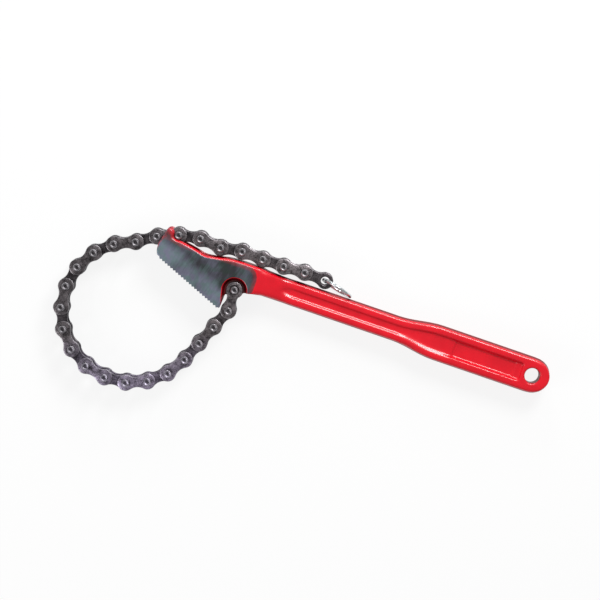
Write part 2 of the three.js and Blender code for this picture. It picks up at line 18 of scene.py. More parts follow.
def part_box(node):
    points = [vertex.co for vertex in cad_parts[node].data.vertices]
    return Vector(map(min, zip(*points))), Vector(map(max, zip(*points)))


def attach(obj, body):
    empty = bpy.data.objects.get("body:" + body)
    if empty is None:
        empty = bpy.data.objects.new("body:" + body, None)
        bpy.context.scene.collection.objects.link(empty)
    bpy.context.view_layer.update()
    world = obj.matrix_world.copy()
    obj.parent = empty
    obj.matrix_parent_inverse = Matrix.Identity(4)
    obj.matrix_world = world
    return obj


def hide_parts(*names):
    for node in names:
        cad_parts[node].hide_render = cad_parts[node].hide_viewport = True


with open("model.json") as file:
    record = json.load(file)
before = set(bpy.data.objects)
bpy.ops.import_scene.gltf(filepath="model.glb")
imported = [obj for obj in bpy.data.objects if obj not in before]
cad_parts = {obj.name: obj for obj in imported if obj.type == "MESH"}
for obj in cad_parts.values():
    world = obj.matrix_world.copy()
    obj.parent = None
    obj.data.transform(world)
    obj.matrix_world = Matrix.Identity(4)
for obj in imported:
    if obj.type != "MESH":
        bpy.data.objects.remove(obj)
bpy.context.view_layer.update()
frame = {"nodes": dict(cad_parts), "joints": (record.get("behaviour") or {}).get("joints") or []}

MM = 0.001
nodes = frame["nodes"]
joint_at = {joint["name"]: Vector(joint["pos_m"]) for joint in frame["joints"]}

# %% [markdown]
# ## Where the tool's own points are
#
# Everything on the wrench is measured from the pin that anchors the chain, so its place is read
# from the frame once. The middle plane is the height of that pin's joint. The chain's pins are the
# places of the link joints, and the last one is the hole that the ring hangs in. Typing the places
# in by hand would work too, but they would be wrong as soon as the frame changed.

# %% Anchor, chain pins and middle plane
anchor = joint_at["link_01_hinge"]
link_count = sum(1 for name in joint_at if name.startswith("link_"))
pins = [joint_at[f"link_{number:02d}_hinge"] for number in range(1, link_count + 1)]
pins.append(joint_at["ring_swing"])
head_low, head_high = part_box("handle")
head_half = (head_high.z - head_low.z) / 2
print("links", link_count, "head thickness in mm", round(2 * head_half / MM, 2))


def beside_anchor(x_mm, y_mm, z_mm=0.0):
    """A place on the tool, given in millimetres from the anchor pin on the middle plane."""
    return anchor + Vector((x_mm, y_mm, z_mm)) * MM


# %% [markdown]
# ## The camera
#
# The photograph looks down on the tool as it lies on its side. Its handle slopes down to the right
# by 19 degrees, and the upper edges show a little, so the camera is rolled and leans slightly.
# A long lens keeps the perspective as mild as in the photograph.

# %% Camera
PHOTO_WIDTH = 434.3 * MM
PHOTO_MIDDLE = (47.3, 8.4)
HANDLE_SLOPE = radians(19.0)
CAMERA_LEAN = radians(4.5)
CAMERA_AIM_RISE = 6.0
LENS = 150.0
FAR_CLIP = 20

photo_right = Vector((cos(HANDLE_SLOPE), sin(HANDLE_SLOPE), 0))
photo_up = Vector((-sin(HANDLE_SLOPE), cos(HANDLE_SLOPE), 0))
camera_back = Vector((0, 0, cos(CAMERA_LEAN))) + photo_up * sin(CAMERA_LEAN)
camera_up = camera_back.cross(photo_right)

camera_data = bpy.data.cameras.new("photo_camera")
camera_data.lens = LENS
camera_data.clip_end = FAR_CLIP
camera = bpy.data.objects.new("photo_camera", camera_data)
bpy.context.scene.collection.objects.link(camera)
camera_distance = PHOTO_WIDTH * LENS / camera_data.sensor_width
camera_place = beside_anchor(*PHOTO_MIDDLE, CAMERA_AIM_RISE) + camera_back * camera_distance
camera_axes = Matrix((photo_right, camera_up, camera_back)).transposed()
camera.matrix_world = Matrix.Translation(camera_place) @ camera_axes.to_4x4()
bpy.context.scene.camera = camera
print("camera distance in m", round(camera_distance, 3))

# %% [markdown]
# ## Helpers for materials
#
# Each finish is a small node tree. An image could be wrapped round the tool instead, but it would
# blur close up and need a map for every piece, while nodes stay sharp and work in real sizes.
# These helpers add a node, join two sockets, do sums on sockets, and blend numbers and colours.

# %% Nodes and sums


def new_material(name):
    """A new material and its node tree, which is emptied."""
    material = bpy.data.materials.new(name)
    material.use_nodes = True
    tree = material.node_tree
    tree.nodes.clear()
    return material, tree


def add(tree, kind, **settings):
    """A new node of this kind, with its own settings."""
    node = tree.nodes.new(kind)
    for key, value in settings.items():
        setattr(node, key, value)
    return node


def join(tree, source, target):
    tree.links.new(source, target)


def maths(tree, operation, first, second=None):
    """The output of a Math node, whose inputs are sockets or plain numbers."""
    node = add(tree, "ShaderNodeMath", operation=operation)
    for socket, value in zip(node.inputs, (first, second)):
        if value is None:
            continue
        if isinstance(value, (int, float)):
            socket.default_value = value
        else:
            join(tree, value, socket)
    return node.outputs[0]


def times(tree, first, second):
    return maths(tree, "MULTIPLY", first, second)


def plus(tree, first, second):
    return maths(tree, "ADD", first, second)


def minus(tree, first, second):
    return maths(tree, "SUBTRACT", first, second)


# %% Blends


def mixed(tree, share, first, last):
    """One colour turned into another by a share. Each colour is a socket or three numbers."""
    node = add(tree, "ShaderNodeMix", data_type="RGBA")
    join(tree, share, node.inputs["Factor"])
    for label, colour in (("A", first), ("B", last)):
        if isinstance(colour, bpy.types.NodeSocket):
            join(tree, colour, node.inputs[label])
        else:
            node.inputs[label].default_value = (*colour, 1)
    return node.outputs["Result"]


def multiplied(tree, first, second):
    """The product of two colours."""
    node = add(tree, "ShaderNodeMix", data_type="RGBA", blend_type="MULTIPLY")
    node.inputs["Factor"].default_value = 1.0
    join(tree, first, node.inputs["A"])
    join(tree, second, node.inputs["B"])
    return node.outputs["Result"]


def ramp(tree, value, low, high, first, last):
    """A value between low and high turned into a number or a colour between first and last."""
    node = add(tree, "ShaderNodeMapRange", clamp=True)
    join(tree, value, node.inputs["Value"])
    node.inputs["From Min"].default_value = low
    node.inputs["From Max"].default_value = high
    if isinstance(first, (int, float)):
        node.inputs["To Min"].default_value = first
        node.inputs["To Max"].default_value = last
        return node.outputs["Result"]
    return mixed(tree, node.outputs["Result"], first, last)


# %% Surface patterns and shaders
NOISE_ROUGHNESS = 0.6


def own_place(tree):
    """A point's place on its own piece, which stays the same wherever the piece moves."""
    return add(tree, "ShaderNodeTexCoord").outputs["Object"]


def axes_of(tree, vector):
    """The X, Y and Z sockets of a vector."""
    split = add(tree, "ShaderNodeSeparateXYZ")
    join(tree, vector, split.inputs["Vector"])
    return split.outputs


def noise(tree, size, stretch=(1, 1, 1), turn=0.0, detail=4.0):
    """Noise whose grains are about size metres wide, drawn out by stretch and turned about Z."""
    mapping = add(tree, "ShaderNodeMapping", vector_type="TEXTURE")
    mapping.inputs["Rotation"].default_value = (0, 0, turn)
    mapping.inputs["Scale"].default_value = [size * share for share in stretch]
    grain = add(tree, "ShaderNodeTexNoise")
    grain.inputs["Scale"].default_value = 1.0
    grain.inputs["Detail"].default_value = detail
    grain.inputs["Roughness"].default_value = NOISE_ROUGHNESS
    join(tree, own_place(tree), mapping.inputs["Vector"])
    join(tree, mapping.outputs["Vector"], grain.inputs["Vector"])
    return grain.outputs["Fac"]


def bump(tree, height, depth, below=None):
    """A Bump node that reads height as depth metres of relief, over the relief below it."""
    node = add(tree, "ShaderNodeBump")
    node.inputs["Strength"].default_value = 1.0
    node.inputs["Distance"].default_value = depth
    join(tree, height, node.inputs["Height"])
    if below is not None:
        join(tree, below, node.inputs["Normal"])
    return node.outputs["Normal"]


def shader(tree, metal, **sockets):
    """A Principled shader whose named sockets are given as numbers, colours or other sockets."""
    node = add(tree, "ShaderNodeBsdfPrincipled")
    node.inputs["Metallic"].default_value = metal
    for label, value in sockets.items():
        socket = node.inputs[label.replace("_", " ")]
        if isinstance(value, bpy.types.NodeSocket):
            join(tree, value, socket)
        else:
            socket.default_value = value
    return node.outputs["BSDF"]


def output(tree, surface):
    node = add(tree, "ShaderNodeOutputMaterial")
    join(tree, surface, node.inputs["Surface"])


# %% [markdown]
# ## The handle's finish: red enamel, and bare steel where the head was ground
#
# A forge paints the whole bar and then grinds the head's two sides flat, which takes the paint
# off again. The mesh could be cut along that border and given two materials, but the border is
# soft and ragged, so one material with a mask does both. The height over the middle plane says
# where the grinding wheel reached, and a rounded rectangle seen from above says how far along the
# bar it went. Where the steel is bare, fine scratches run along the wheel's way.

# %% Where a point lies on the tool


def height_from_middle(tree):
    """How far a point lies over or under the tool's middle plane."""
    return maths(tree, "ABSOLUTE", minus(tree, axes_of(tree, own_place(tree))["Z"], anchor.z))


def flatness(tree):
    """How level a surface lies: 1 on a flat face and 0 on an upright wall."""
    normal = add(tree, "ShaderNodeTexCoord").outputs["Normal"]
    return maths(tree, "ABSOLUTE", axes_of(tree, normal)["Z"])


def distance_from(tree, place):
    """How far a point lies from a place, seen from above."""
    flat = add(tree, "ShaderNodeVectorMath", operation="MULTIPLY")
    away = add(tree, "ShaderNodeVectorMath", operation="DISTANCE")
    join(tree, own_place(tree), flat.inputs[0])
    flat.inputs[1].default_value = (1, 1, 0)
    join(tree, flat.outputs["Vector"], away.inputs[0])
    away.inputs[1].default_value = (place.x, place.y, 0)
    return away.outputs["Value"]


# %% Red enamel
ENAMEL_RED = (0.77, 0.0020, 0.015)
ENAMEL_DEEP_RED = (0.67, 0.0010, 0.013)
ENAMEL_PATCH_SIZE = 18 * MM
ENAMEL_PATCH_SPAN = (0.35, 0.65)
ENAMEL_ROUGHNESS = (0.28, 0.36)
ENAMEL_COAT = 0.4
ENAMEL_COAT_ROUGHNESS = 0.12
ENAMEL_SHINE = (0.03, 0.4)
# painted shade: the enamel's colour is a deep dark red on the upright walls
WALL_SHADE_RED = (0.20, 0.001, 0.005)
WALL_TO_FLAT = (0.2, 0.5)
# painted shade: the enamel is darkened deep in the notch round the anchor pin, where shade falls
NOTCH_SHADE_RED = (0.10, 0.002, 0.004)
NOTCH_REACH = 11.5 * MM
NOTCH_SHADE_DEPTH = 3.0 * MM
NOTCH_SHADE_FADE = 1.5 * MM
PEEL_SIZE, PEEL_DEPTH = 1.6 * MM, 0.012 * MM
DENT_SIZE, DENT_DEPTH = 6 * MM, 0.06 * MM
SHEAR_SIZE, SHEAR_DEPTH = 0.7 * MM, 0.15 * MM
TRIM_LINE_HALF_WIDTH = 1.1 * MM
TRIM_CORE_SHARE = 0.6
TRIM_RISE = 0.5
NOISE_SPAN = (0.3, 0.7)


def red_enamel(tree):
    """Glossy paint over forged skin, and over the rough line where the forging was trimmed. It is
    dull on the upright walls, where its colour is darkened as painted shade, and it is darkened
    as painted shade deep in the notch."""
    patches = noise(tree, ENAMEL_PATCH_SIZE, detail=2.0)
    clean = ramp(tree, patches, *ENAMEL_PATCH_SPAN, ENAMEL_DEEP_RED, ENAMEL_RED)
    notch_end = NOTCH_REACH + NOTCH_SHADE_FADE
    in_notch = ramp(tree, distance_from(tree, anchor), NOTCH_REACH, notch_end, 1, 0)
    height = height_from_middle(tree)
    notch_shade_top = head_half - NOTCH_SHADE_DEPTH
    deep = ramp(tree, height, notch_shade_top, notch_shade_top + NOTCH_SHADE_FADE, 1, 0)
    level = flatness(tree)
    # painted shade on the upright walls
    wall_shaded = mixed(tree, ramp(tree, level, *WALL_TO_FLAT, 1, 0), clean, WALL_SHADE_RED)
    # painted shade deep in the notch
    colour = mixed(tree, times(tree, in_notch, deep), wall_shaded, NOTCH_SHADE_RED)
    peel = noise(tree, PEEL_SIZE, detail=1.0)
    dents = noise(tree, DENT_SIZE, detail=3.0)
    trim_core = TRIM_LINE_HALF_WIDTH * TRIM_CORE_SHARE
    on_trim = ramp(tree, height, trim_core, TRIM_LINE_HALF_WIDTH, 1, 0)
    sheared = noise(tree, SHEAR_SIZE, detail=3.0)
    trim = times(tree, on_trim, plus(tree, sheared, TRIM_RISE))
    relief = bump(tree, peel, PEEL_DEPTH, bump(tree, dents, DENT_DEPTH))
    return shader(
        tree, 0.0, Base_Color=colour,
        Roughness=ramp(tree, dents, *NOISE_SPAN, *ENAMEL_ROUGHNESS),
        Normal=bump(tree, trim, SHEAR_DEPTH, relief),
        Coat_Roughness=ENAMEL_COAT_ROUGHNESS,
        Coat_Weight=ramp(tree, level, *WALL_TO_FLAT, 0, ENAMEL_COAT),
        Specular_IOR_Level=ramp(tree, level, *WALL_TO_FLAT, *ENAMEL_SHINE),
    )


# %% Ground steel
STEEL_BLUE = (0.262, 0.312, 0.378)
STEEL_DULL = (0.062, 0.070, 0.072)
STEEL_SPAN = (0.42, 1.02)
STEEL_METAL = 0.85
STEEL_ROUGHNESS = (0.34, 0.50)
TEMPER_GREEN_TINT = (0.92, 1.05, 0.95)
TEMPER_PURPLE_TINT = (1.10, 0.95, 1.08)
TEMPER_SIZE = 6 * MM
TEMPER_SPAN = (0.4, 0.6)
GRIND_TURN = radians(76)
CLOUD_SIZE, CLOUD_STRETCH_SHARES = 13 * MM, (1.6, 1, 1)
SCRATCH_SIZE, SCRATCH_STRETCH_SHARES = 0.3 * MM, (30, 1, 1)
SCRATCH_DEPTH = 0.012 * MM
MARK_SIZE, MARK_STRETCH_SHARES = 1.6 * MM, (7, 1, 1)
MARK_DEPTH = 0.02 * MM
MARK_SHARE = 0.35
JAW_END = (-60.5, 5.0)
JAW_TIP = (-6.4, -17.0)
# painted sheen: the bare steel is lighter near the jaw and darker further in
SHEEN_FULL_REACH = 9.0 * MM
SHEEN_END_REACH = 16.0 * MM
JAW_SHEEN_GAIN, INNER_SHEEN_GAIN = 0.26, -0.16

jaw_along = (Vector(JAW_TIP) - Vector(JAW_END)).normalized()
jaw_inward = Vector((-jaw_along.y, jaw_along.x))


def reach_from_jaw(tree):
    """How far a point lies inside the jaw's line of teeth."""
    place = axes_of(tree, own_place(tree))
    across = times(tree, place["X"], jaw_inward.x)
    inward = plus(tree, across, times(tree, place["Y"], jaw_inward.y))
    return minus(tree, inward, beside_anchor(*JAW_END).xy.dot(jaw_inward))


def ground_steel(tree):
    """Bare steel with fine scratches, short wheel marks and cloudy patches, blued a little by the
    wheel's heat, and given a painted sheen that is brightest by the jaw and darker further in."""
    clouds = noise(tree, CLOUD_SIZE, CLOUD_STRETCH_SHARES, GRIND_TURN, detail=5.0)
    scratches = noise(tree, SCRATCH_SIZE, SCRATCH_STRETCH_SHARES, GRIND_TURN, detail=3.0)
    marks = noise(tree, MARK_SIZE, MARK_STRETCH_SHARES, GRIND_TURN, detail=3.0)
    # painted sheen by the jaw
    jaw_sheen = ramp(tree, reach_from_jaw(tree), SHEEN_FULL_REACH, SHEEN_END_REACH, JAW_SHEEN_GAIN, INNER_SHEEN_GAIN)
    both = plus(tree, clouds, times(tree, marks, MARK_SHARE))
    plain = ramp(tree, plus(tree, both, jaw_sheen), *STEEL_SPAN, STEEL_DULL, STEEL_BLUE)
    temper = noise(tree, TEMPER_SIZE, detail=2.0)
    tint = ramp(tree, temper, *TEMPER_SPAN, TEMPER_GREEN_TINT, TEMPER_PURPLE_TINT)
    return shader(
        tree, STEEL_METAL, Base_Color=multiplied(tree, plain, tint),
        Roughness=ramp(tree, scratches, *NOISE_SPAN, *STEEL_ROUGHNESS),
        Normal=bump(tree, scratches, SCRATCH_DEPTH, bump(tree, marks, MARK_DEPTH)),
    )


# %% Where the wheel reached
WHEEL_REACH_DEPTH = 0.22 * MM
EDGE_REACH_DEPTH = 0.9 * MM
JAW_STRIP = (5 * MM, 8 * MM)
GROUND_LEFT_END, GROUND_RIGHT_END = -65.0, 12.9
GROUND_BOTTOM, GROUND_TOP = -40.0, 19.8
GROUND_CORNER = 8.5
HORN_SIDE_START = -46.0
HORN_RISE_SHARE = 0.2
BORDER_OFFSET = 0.4
BORDER_HALF_FADE = 0.15
BORDER_WANDER_SIZE, BORDER_WANDER = 5 * MM, 0.8 * MM
PAINT_DUST_WIDTH = 3.5
PAINT_DUST_SHARE = 0.30


def wheel_reach(tree, depth):
    """1 on the head's two flat sides and down to a depth below them."""
    near_face = head_half - depth
    return ramp(tree, height_from_middle(tree), near_face, near_face + depth / 2, 0, 1)


def past_flat_side(tree, along, low, high):
    """How far a point is past the straight part of one side of the rounded rectangle."""
    away = maths(tree, "ABSOLUTE", minus(tree, along, (low + high) / 2))
    past = minus(tree, away, (high - low) / 2 - GROUND_CORNER * MM)
    return maths(tree, "POWER", maths(tree, "MAXIMUM", past, 0.0), 2.0)


def ground_mask(tree):
    """1 where the head is ground bare: on its two flat sides, inside a rounded rectangle whose
    top rises towards the horn. Along the jaw the bare steel goes over the edge. A second share
    fades towards the rectangle's border, where some paint stays in the scratches."""
    by_jaw = ramp(tree, reach_from_jaw(tree), *JAW_STRIP, 1, 0)
    over_edge = times(tree, by_jaw, wheel_reach(tree, EDGE_REACH_DEPTH))
    reached = maths(tree, "MAXIMUM", wheel_reach(tree, WHEEL_REACH_DEPTH), over_edge)
    place = axes_of(tree, own_place(tree))
    before_horn = minus(tree, anchor.x + HORN_SIDE_START * MM, place["X"])
    rise = times(tree, maths(tree, "MAXIMUM", before_horn, 0.0), HORN_RISE_SHARE)
    low = beside_anchor(GROUND_LEFT_END, GROUND_BOTTOM)
    high = beside_anchor(GROUND_RIGHT_END, GROUND_TOP)
    past_x = past_flat_side(tree, place["X"], low.x, high.x)
    past_y = past_flat_side(tree, minus(tree, place["Y"], rise), low.y, high.y)
    corner = maths(tree, "SQRT", plus(tree, past_x, past_y))
    wander = times(tree, noise(tree, BORDER_WANDER_SIZE, detail=3.0), BORDER_WANDER)
    edge = plus(tree, corner, wander)
    border = GROUND_CORNER + BORDER_OFFSET
    fade_start, fade_end = border - BORDER_HALF_FADE, border + BORDER_HALF_FADE
    within = ramp(tree, edge, fade_start * MM, fade_end * MM, 1, 0)
    dust_start = (border - PAINT_DUST_WIDTH) * MM
    dusty = ramp(tree, edge, dust_start, border * MM, 1, 1 - PAINT_DUST_SHARE)
    return times(tree, reached, times(tree, within, dusty))


# %% The worn horn, and the handle's two materials
HORN_WEAR_PLACE = (-60.5, 20.5)
HORN_WEAR_REACH = 9.0 * MM
HORN_WEAR_SHARE = 0.92
RUB_PATCH_SIZE = 2.2 * MM
RUB_PATCH_SPAN = (0.36, 0.56)
LEAST_RUB = 0.7


def horn_wear(tree):
    """How far the paint is rubbed off the horn, where the chain's pin is hung and lifted."""
    away = distance_from(tree, beside_anchor(*HORN_WEAR_PLACE))
    near = ramp(tree, away, 0.5 * HORN_WEAR_REACH, HORN_WEAR_REACH, 1, 0)
    patches = noise(tree, RUB_PATCH_SIZE, detail=4.0)
    rubs = ramp(tree, patches, *RUB_PATCH_SPAN, LEAST_RUB, 1)
    return times(tree, times(tree, near, rubs), HORN_WEAR_SHARE)


forging_finish, tree = new_material("painted_forging")
bare = maths(tree, "MAXIMUM", ground_mask(tree), horn_wear(tree))
mix = add(tree, "ShaderNodeMixShader")
join(tree, bare, mix.inputs["Fac"])
join(tree, red_enamel(tree), mix.inputs[1])
join(tree, ground_steel(tree), mix.inputs[2])
output(tree, mix.outputs["Shader"])

bare_steel, tree = new_material("bare_ground_steel")
output(tree, ground_steel(tree))
print("handle finishes", forging_finish.name, bare_steel.name)

# %% [markdown]
# ## The chain's finishes
#
# Chain plates are blued in the furnace and oiled: nearly black, a little purple, and never quite
# even. Their rounded edges and the rims of the pins' riveted ends are painted bright, partly as
# rubbed steel and partly as a painted highlight. Their upright walls and the pits of the rivets are
# painted nearly black as shade, and the inner plates are a darker, shaded copy of the outer plates'
# steel. A painted-on wear map is one way to show the rubbing. Here the surface's own slope and
# height say where each mark goes, so each of the many pieces gets it without a map. A light purple
# band on the chain's lowest stretch is a painted sheen. The ring is zinc plated.

# %% The oil on the chain, and a painted sheen
OIL_BROWN_TINT = (0.96, 0.93, 0.92)
# painted sheen: a lighter purple band over the chain's lowest stretch in the view, where a lamp's
# reflection falls
SHEEN_PURPLE_TINT = (2.30, 2.15, 2.75)
SHEEN_LINE = -32.0 * MM
SHEEN_FADE = 24.0 * MM
SHEEN_DRIFT_SIZE, SHEEN_DRIFT = 20 * MM, 14 * MM
LOOP_SIDE_TINT = (0.86, 0.86, 0.87)
# the chain's colour is darker towards the far side of the loop and lighter towards the tail
TAIL_SIDE_TINT = (1.32, 1.30, 1.30)
LOOP_SIDE_END = -60.0 * MM
TAIL_SIDE_END = 30.0 * MM


def oil_and_sheen_tint(tree):
    """Brown oil on most of the chain, and a light purple painted sheen on the stretch lowest in the
    view. The colour is darker towards the far side of the loop and lighter towards the loose tail."""
    across = axes_of(tree, own_place(tree))["X"]
    side_tint = ramp(tree, across, anchor.x + LOOP_SIDE_END, anchor.x + TAIL_SIDE_END, LOOP_SIDE_TINT, TAIL_SIDE_TINT)
    rise = add(tree, "ShaderNodeVectorMath", operation="DOT_PRODUCT")
    join(tree, own_place(tree), rise.inputs[0])
    rise.inputs[1].default_value = photo_up
    # the painted sheen's border across the view
    line = beside_anchor(*PHOTO_MIDDLE).dot(photo_up) + SHEEN_LINE
    low, high = line - SHEEN_FADE, line + SHEEN_FADE / 2
    drift = times(tree, noise(tree, SHEEN_DRIFT_SIZE, detail=1.0), SHEEN_DRIFT)
    height = plus(tree, rise.outputs["Value"], drift)
    oil_and_sheen_film = ramp(tree, height, low, high, SHEEN_PURPLE_TINT, OIL_BROWN_TINT)
    return multiplied(tree, oil_and_sheen_film, side_tint)


# %% Worn metal, with painted highlights and painted shade
METAL_SHARE = 0.9
SPECKS_ACROSS = 8
SPECK_SHARE = 0.7
METAL_SPAN = (0.66, 1.08)
# rounded edges: partly rubbed steel and partly a painted highlight
RUBBED_STEEL_AND_HIGHLIGHT = (0.56, 0.55, 0.58)
ROUNDED_TO_FLAT = (0.86, 0.985)
# painted shade: the upright walls of plates and pins are painted nearly black
WALL_SHADE_BLACK = (0.028, 0.025, 0.028)
WALL_TO_ROUNDED = (0.15, 0.45)
# painted shade: the pit of a riveted pin end is painted nearly black
PIT_HEIGHT = head_half - 0.55 * MM
PIT_FADE = 0.1 * MM
PIT_LEVELS = (0.88, 0.96)
PIT_SHADE_SHARE = 0.7


def worn_metal_with_painted_light(name, dark, light, grain, roughness, relief, rub_and_highlight=0.0, takes_oil_and_sheen=True, pit=False):
    """A metal whose colour and gloss wander over patches of the given grain size. Oil and a painted
    sheen tint it, its rounded edges are painted bright as rubbed steel and as a highlight, and its
    upright walls are painted black as shade. The pit of a rivet, the only level place so near its
    top, is painted black as shade too."""
    material, tree = new_material(name)
    patches = noise(tree, grain, detail=5.0)
    specks = noise(tree, grain / SPECKS_ACROSS, detail=2.0)
    both = plus(tree, patches, times(tree, specks, SPECK_SHARE))
    colour = ramp(tree, both, *METAL_SPAN, dark, light)
    if takes_oil_and_sheen:
        colour = multiplied(tree, colour, oil_and_sheen_tint(tree))
    if rub_and_highlight:
        level = flatness(tree)
        # rounded edges are lightened as rubbed steel and as a painted highlight
        colour = mixed(tree, ramp(tree, level, *ROUNDED_TO_FLAT, rub_and_highlight, 0), colour, RUBBED_STEEL_AND_HIGHLIGHT)
        # painted shade on the upright walls
        colour = mixed(tree, ramp(tree, level, *WALL_TO_ROUNDED, 1, 0), colour, WALL_SHADE_BLACK)
    if pit:
        under = ramp(tree, height_from_middle(tree), PIT_HEIGHT - PIT_FADE, PIT_HEIGHT, 1, 0)
        flat = ramp(tree, level, *PIT_LEVELS, 0, 1)
        # painted shade in the rivet's pit
        pit_shade = times(tree, times(tree, under, flat), PIT_SHADE_SHARE)
        colour = mixed(tree, pit_shade, colour, WALL_SHADE_BLACK)
    gloss = ramp(tree, specks, *NOISE_SPAN, *roughness)
    bumps = bump(tree, specks, relief, bump(tree, patches, 2 * relief))
    output(tree, shader(tree, METAL_SHARE, Base_Color=colour, Roughness=gloss, Normal=bumps))
    return material


# %% Plates, pins, rollers and ring
PLATE_DARK = (0.050, 0.045, 0.049)
PLATE_LIGHT = (0.330, 0.305, 0.322)
# painted shade: the inner plates are a darker copy of the outer plates' steel, as they lie deeper
# in the chain
SHADED_INNER_PLATE_DARK = (0.024, 0.021, 0.024)
SHADED_INNER_PLATE_LIGHT = (0.170, 0.157, 0.170)
PIN_DARK = (0.045, 0.042, 0.046)
PIN_LIGHT = (0.260, 0.245, 0.262)
ZINC_DARK = (0.50, 0.54, 0.56)
ZINC_LIGHT = (0.80, 0.84, 0.86)

plate_steel = worn_metal_with_painted_light(
    "oiled_outer_plate", PLATE_DARK, PLATE_LIGHT,
    grain=4 * MM, roughness=(0.26, 0.42), relief=0.03 * MM, rub_and_highlight=0.7)
# the inner plates' steel, darkened as painted shade
shaded_inner_plate_steel = worn_metal_with_painted_light(
    "oiled_inner_plate", SHADED_INNER_PLATE_DARK, SHADED_INNER_PLATE_LIGHT,
    grain=4 * MM, roughness=(0.30, 0.46), relief=0.03 * MM, rub_and_highlight=0.35)
pin_steel = worn_metal_with_painted_light(
    "riveted_pin_steel", PIN_DARK, PIN_LIGHT,
    grain=2 * MM, roughness=(0.34, 0.50), relief=0.04 * MM, rub_and_highlight=0.5, pit=True)
roller_steel = worn_metal_with_painted_light(
    "oiled_roller", PIN_DARK, PIN_LIGHT,
    grain=3 * MM, roughness=(0.22, 0.36), relief=0.02 * MM)
zinc = worn_metal_with_painted_light(
    "zinc_plate", ZINC_DARK, ZINC_LIGHT,
    grain=4 * MM, roughness=(0.14, 0.26), relief=0.01 * MM, takes_oil_and_sheen=False)
chain_finishes = [plate_steel, shaded_inner_plate_steel, pin_steel, roller_steel, zinc]
print("chain finishes", [finish.name for finish in chain_finishes])

# %% [markdown]
# ## Turned and punched blanks for the chain
#
# A chain is made of few shapes, many times over. Pins, bushings and rollers are turned, so each is
# a profile spun round Z. A side plate is punched: two round ends joined by hollow waists, with its
# edge slightly rounded by tumbling. Cylinders joined with a box would be quicker, but they have no
# waists and no formed rivets. These blanks are made once, and copied by the next step.

# %% The chain's sizes
PITCH = (pins[1] - pins[0]).length
PLATE_THICKNESS = 1.6 * MM
PLATE_GAP = 0.25 * MM
PLATE_END_RADIUS = 5.9 * MM
PLATE_WAIST_WIDTH = 7.4 * MM
INNER_WIDTH = 9.65 * MM
PIN_RADIUS = 2.54 * MM
PIN_HEAD_RADIUS = 2.9 * MM
PIN_HALF_LENGTH = head_half - 0.3 * MM
BUSHING_RADIUS = 3.55 * MM
BUSHING_BORE = 2.66 * MM
ROLLER_RADIUS = 5.08 * MM
ROLLER_BORE = 3.7 * MM
ROLLER_END_PLAY = 0.3 * MM
ROLLER_EDGE = 0.4 * MM
EYE_RADIUS = 3.1 * MM
ANCHOR_EYE_RADIUS = 3.05 * MM

inner_face = INNER_WIDTH / 2
outer_face = inner_face + PLATE_THICKNESS + PLATE_GAP
chain_half = outer_face + PLATE_THICKNESS
print("pitch in mm", round(PITCH / MM, 3), "chain width in mm", round(2 * chain_half / MM, 2))

# %% Objects from meshes


def new_object(name, mesh):
    made = bpy.data.objects.new(name, mesh)
    bpy.context.scene.collection.objects.link(made)
    return made


def object_from(name, form):
    """An object whose mesh is written from a bmesh, which is then freed."""
    mesh = bpy.data.meshes.new(name)
    form.to_mesh(mesh)
    form.free()
    return new_object(name, mesh)


def baked(source):
    """The object with its modifiers made real, as a plain mesh under the same name."""
    ready = source.evaluated_get(bpy.context.evaluated_depsgraph_get())
    mesh = bpy.data.meshes.new_from_object(ready)
    source.modifiers.clear()
    source.data = mesh
    return source


# %% Turning
TURNED_SIDES = 40


def turned(name, profile, hollow=False):
    """A profile of (radius, height) points spun round Z. A hollow one closes on itself."""
    form = bmesh.new()
    rings = []
    for radius, height in profile:
        if radius == 0:
            rings.append([form.verts.new((0, 0, height))] * TURNED_SIDES)
            continue
        turns = [2 * pi * side / TURNED_SIDES for side in range(TURNED_SIDES)]
        rings.append([form.verts.new((radius * cos(a), radius * sin(a), height)) for a in turns])
    pairs = list(zip(rings, rings[1:]))
    if hollow:
        pairs.append((rings[-1], rings[0]))
    for low, high in pairs:
        for side in range(TURNED_SIDES):
            after = (side + 1) % TURNED_SIDES
            corners = [low[side], low[after], high[after], high[side]]
            form.faces.new(list(dict.fromkeys(corners)))
    bmesh.ops.recalc_face_normals(form, faces=form.faces)
    for face in form.faces:
        face.smooth = True
    return object_from(name, form)


# %% Punching
PLATE_END_STEPS = 22
PLATE_WAIST_STEPS = 8
PLATE_EDGE = 0.55 * MM
PLATE_EDGE_STEPS = 2
PLATE_EDGE_ANGLE = radians(50)


def arc(x, y, radius, start, end, steps):
    turns = [start + (end - start) * step / steps for step in range(steps + 1)]
    return [(x + radius * cos(turn), y + radius * sin(turn)) for turn in turns]


def plate_outline():
    """Round ends and hollow waists, worked out from the end radius and the waist's width."""
    half = PITCH / 2
    waist = PLATE_WAIST_WIDTH / 2
    hollow = (half**2 + waist**2 - PLATE_END_RADIUS**2) / (2 * (PLATE_END_RADIUS - waist))
    swing = atan2(waist + hollow, half)
    lean = pi / 2 - swing
    far = arc(PITCH, 0, PLATE_END_RADIUS, swing - pi, pi - swing, PLATE_END_STEPS)
    waist_start, waist_end = lean - pi / 2, -lean - pi / 2
    whole_top = arc(half, waist + hollow, hollow, waist_start, waist_end, PLATE_WAIST_STEPS)
    top = whole_top[1:-1]
    near = arc(0, 0, PLATE_END_RADIUS, swing, 2 * pi - swing, PLATE_END_STEPS)
    under = [(PITCH - x, -y) for x, y in top]
    return far + top + near + under


